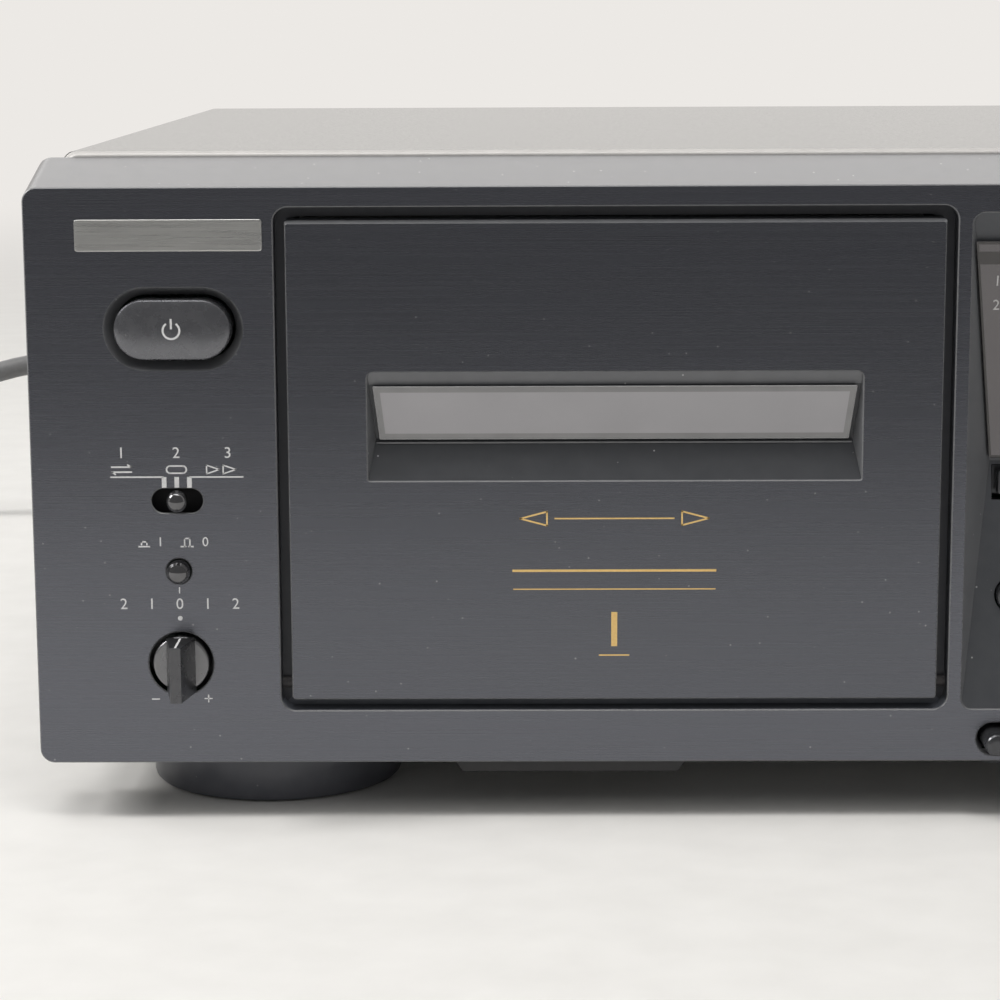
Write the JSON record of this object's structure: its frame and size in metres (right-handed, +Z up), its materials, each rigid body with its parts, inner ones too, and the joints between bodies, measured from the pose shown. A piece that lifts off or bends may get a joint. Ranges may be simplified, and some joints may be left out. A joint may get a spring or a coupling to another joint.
{
  "type": "double cassette deck",
  "caption": "Full-width double cassette deck: two hinged doors with slanted windows, a vee-shaped console with display and keys, side controls, steel case and mains lead.",
  "frame": {"origin": "on the floor under the middle of the deck, without the mains lead", "axes": "+X to the right seen from the front, +Y to the rear, +Z up; the front face looks along -Y"},
  "size_m": [0.649, 0.365, 0.1382],
  "materials": {
    "black": "satin",
    "board": "solder resist",
    "bodies": "satin",
    "brass": "plated",
    "cord": "matte",
    "cover": "fine satin paint",
    "door": "fine horizontal hairlines, satin",
    "holder": "matte",
    "keys": "gloss",
    "pane": "smoked, gloss",
    "panel": "fine horizontal hairlines, satin",
    "rubber": "matte",
    "steel": "zinc plated",
    "tube": "gloss",
    "white": "satin",
    "window": "grey tinted, gloss"
  },
  "bodies": {
    "case": {"front_panel": "panel", "display_pane": "pane", "display_tube": "tube", "front_boards": "board", "control_bodies": "bodies", "phones_jack": "black", "hinge_pins": "steel", "bottom_chassis": "steel", "rear_panel": "steel", "top_cover": "cover", "feet": "rubber", "case_screws": "steel", "jack_block": "black", "jack_sleeves": "brass", "cord_gland": "black", "mains_cord": "cord", "mains_coil": "cord", "mains_plug": "black", "transformer": "steel", "main_board": "board", "drive_frames": "steel", "drive_motors": "steel", "drive_belts": "rubber"},
    "power_button": {"power_button": "keys"},
    "pitch_button": {"pitch_button": "keys"},
    "reverse_key": {"reverse_key": "keys"},
    "stop_key": {"stop_key": "keys"},
    "play_key": {"play_key": "keys"},
    "pause_key": {"pause_key": "keys"},
    "record_key": {"record_key": "keys"},
    "rewind_key": {"rewind_key": "keys"},
    "forward_key": {"forward_key": "keys"},
    "counter_key": {"counter_key": "keys"},
    "memory_key": {"memory_key": "keys"},
    "eject_key_a": {"eject_key_a": "keys"},
    "eject_key_b": {"eject_key_b": "keys"},
    "mode_slider": {"mode_slider": "black"},
    "noise_slider": {"noise_slider": "black"},
    "pitch_knob": {"pitch_knob": "keys"},
    "level_knob": {"level_knob": "keys"},
    "door_a": {"door_a": "door", "window_a": "window", "holder_a": "holder"},
    "spindle_a_left": {"spindle_a_left": "white"},
    "flywheel_a_left": {"flywheel_a_left": "steel"},
    "spindle_a_right": {"spindle_a_right": "white"},
    "flywheel_a_right": {"flywheel_a_right": "steel"},
    "head_a": {"head_a": "steel"},
    "roller_a_left": {"roller_a_left": "rubber"},
    "roller_a_right": {"roller_a_right": "rubber"},
    "door_b": {"door_b": "door", "window_b": "window", "holder_b": "holder"},
    "spindle_b_left": {"spindle_b_left": "white"},
    "flywheel_b_left": {"flywheel_b_left": "steel"},
    "spindle_b_right": {"spindle_b_right": "white"},
    "flywheel_b_right": {"flywheel_b_right": "steel"},
    "head_b": {"head_b": "steel"},
    "roller_b_left": {"roller_b_left": "rubber"},
    "roller_b_right": {"roller_b_right": "rubber"}
  },
  "joints": [
    {"name": "power_press", "type": "slide", "parent": "case", "child": "power_button", "axis": [0, 1, 0], "range_m": [0, 0.004], "stiffness_N_per_m": 400},
    {"name": "pitch_press", "type": "slide", "parent": "case", "child": "pitch_button", "axis": [0, 1, 0], "range_m": [0, 0.0022], "stiffness_N_per_m": 300},
    {"name": "reverse_press", "type": "slide", "parent": "case", "child": "reverse_key", "axis": [0, 1, 0], "range_m": [0, 0.001], "stiffness_N_per_m": 300},
    {"name": "stop_press", "type": "slide", "parent": "case", "child": "stop_key", "axis": [0, 1, 0], "range_m": [0, 0.001], "stiffness_N_per_m": 300},
    {"name": "play_press", "type": "slide", "parent": "case", "child": "play_key", "axis": [0, 1, 0], "range_m": [0, 0.001], "stiffness_N_per_m": 300},
    {"name": "pause_press", "type": "slide", "parent": "case", "child": "pause_key", "axis": [0, 1, 0], "range_m": [0, 0.001], "stiffness_N_per_m": 300},
    {"name": "record_press", "type": "slide", "parent": "case", "child": "record_key", "axis": [0, 1, 0], "range_m": [0, 0.001], "stiffness_N_per_m": 300},
    {"name": "rewind_press", "type": "slide", "parent": "case", "child": "rewind_key", "axis": [0, 1, 0], "range_m": [0, 0.001], "stiffness_N_per_m": 300},
    {"name": "forward_press", "type": "slide", "parent": "case", "child": "forward_key", "axis": [0, 1, 0], "range_m": [0, 0.001], "stiffness_N_per_m": 300},
    {"name": "counter_press", "type": "slide", "parent": "case", "child": "counter_key", "axis": [0, 1, 0], "range_m": [0, 0.001], "stiffness_N_per_m": 300},
    {"name": "memory_press", "type": "slide", "parent": "case", "child": "memory_key", "axis": [0, 1, 0], "range_m": [0, 0.001], "stiffness_N_per_m": 300},
    {"name": "eject_a_press", "type": "slide", "parent": "case", "child": "eject_key_a", "axis": [0, 1, 0], "range_m": [0, 0.003], "stiffness_N_per_m": 300},
    {"name": "eject_b_press", "type": "slide", "parent": "case", "child": "eject_key_b", "axis": [0, 1, 0], "range_m": [0, 0.003], "stiffness_N_per_m": 300},
    {"name": "mode_slide", "type": "slide", "parent": "case", "child": "mode_slider", "axis": [1, 0, 0], "range_m": [-0.0028, 0.0028]},
    {"name": "noise_slide", "type": "slide", "parent": "case", "child": "noise_slider", "axis": [1, 0, 0], "range_m": [-0.0028, 0.0028]},
    {"name": "pitch_turn", "type": "hinge", "parent": "case", "child": "pitch_knob", "pos_m": [-0.185, -0.14, 0.0333], "axis": [0, 1, 0], "range_deg": [-140, 140]},
    {"name": "level_turn", "type": "hinge", "parent": "case", "child": "level_knob", "pos_m": [0.185, -0.14, 0.072], "axis": [0, 1, 0], "range_deg": [-145, 145]},
    {"name": "door_a_swing", "type": "hinge", "parent": "case", "child": "door_a", "pos_m": [-0.095, -0.1355, 0.0282], "axis": [1, 0, 0], "range_deg": [0, 28]},
    {"name": "spindle_a_left_spin", "type": "hinge", "parent": "case", "child": "spindle_a_left", "pos_m": [-0.11625, -0.12, 0.085], "axis": [0, 1, 0], "continuous": true},
    {"name": "flywheel_a_left_spin", "type": "hinge", "parent": "case", "child": "flywheel_a_left", "pos_m": [-0.129, -0.103, 0.0585], "axis": [0, 1, 0], "continuous": true},
    {"name": "spindle_a_right_spin", "type": "hinge", "parent": "case", "child": "spindle_a_right", "pos_m": [-0.07375, -0.12, 0.085], "axis": [0, 1, 0], "continuous": true},
    {"name": "flywheel_a_right_spin", "type": "hinge", "parent": "case", "child": "flywheel_a_right", "pos_m": [-0.061, -0.103, 0.0585], "axis": [0, 1, 0], "continuous": true},
    {"name": "head_a_lift", "type": "slide", "parent": "case", "child": "head_a", "axis": [0, 0, 1], "range_m": [0, 0.006]},
    {"name": "roller_a_left_spin", "type": "hinge", "parent": "head_a", "child": "roller_a_left", "pos_m": [-0.129, -0.125, 0.046], "axis": [0, 1, 0], "continuous": true},
    {"name": "roller_a_right_spin", "type": "hinge", "parent": "head_a", "child": "roller_a_right", "pos_m": [-0.061, -0.125, 0.046], "axis": [0, 1, 0], "continuous": true},
    {"name": "door_b_swing", "type": "hinge", "parent": "case", "child": "door_b", "pos_m": [0.095, -0.1355, 0.0282], "axis": [1, 0, 0], "range_deg": [0, 28]},
    {"name": "spindle_b_left_spin", "type": "hinge", "parent": "case", "child": "spindle_b_left", "pos_m": [0.07375, -0.12, 0.085], "axis": [0, 1, 0], "continuous": true},
    {"name": "flywheel_b_left_spin", "type": "hinge", "parent": "case", "child": "flywheel_b_left", "pos_m": [0.061, -0.103, 0.0585], "axis": [0, 1, 0], "continuous": true},
    {"name": "spindle_b_right_spin", "type": "hinge", "parent": "case", "child": "spindle_b_right", "pos_m": [0.11625, -0.12, 0.085], "axis": [0, 1, 0], "continuous": true},
    {"name": "flywheel_b_right_spin", "type": "hinge", "parent": "case", "child": "flywheel_b_right", "pos_m": [0.129, -0.103, 0.0585], "axis": [0, 1, 0], "continuous": true},
    {"name": "head_b_lift", "type": "slide", "parent": "case", "child": "head_b", "axis": [0, 0, 1], "range_m": [0, 0.006]},
    {"name": "roller_b_left_spin", "type": "hinge", "parent": "head_b", "child": "roller_b_left", "pos_m": [0.061, -0.125, 0.046], "axis": [0, 1, 0], "continuous": true},
    {"name": "roller_b_right_spin", "type": "hinge", "parent": "head_b", "child": "roller_b_right", "pos_m": [0.129, -0.125, 0.046], "axis": [0, 1, 0], "continuous": true}
  ],
  "couplings": [
    {"joint": "flywheel_a_right_spin", "follows": "flywheel_a_left_spin", "ratio": -1.1613},
    {"joint": "flywheel_b_right_spin", "follows": "flywheel_b_left_spin", "ratio": -1.1613}
  ]
}
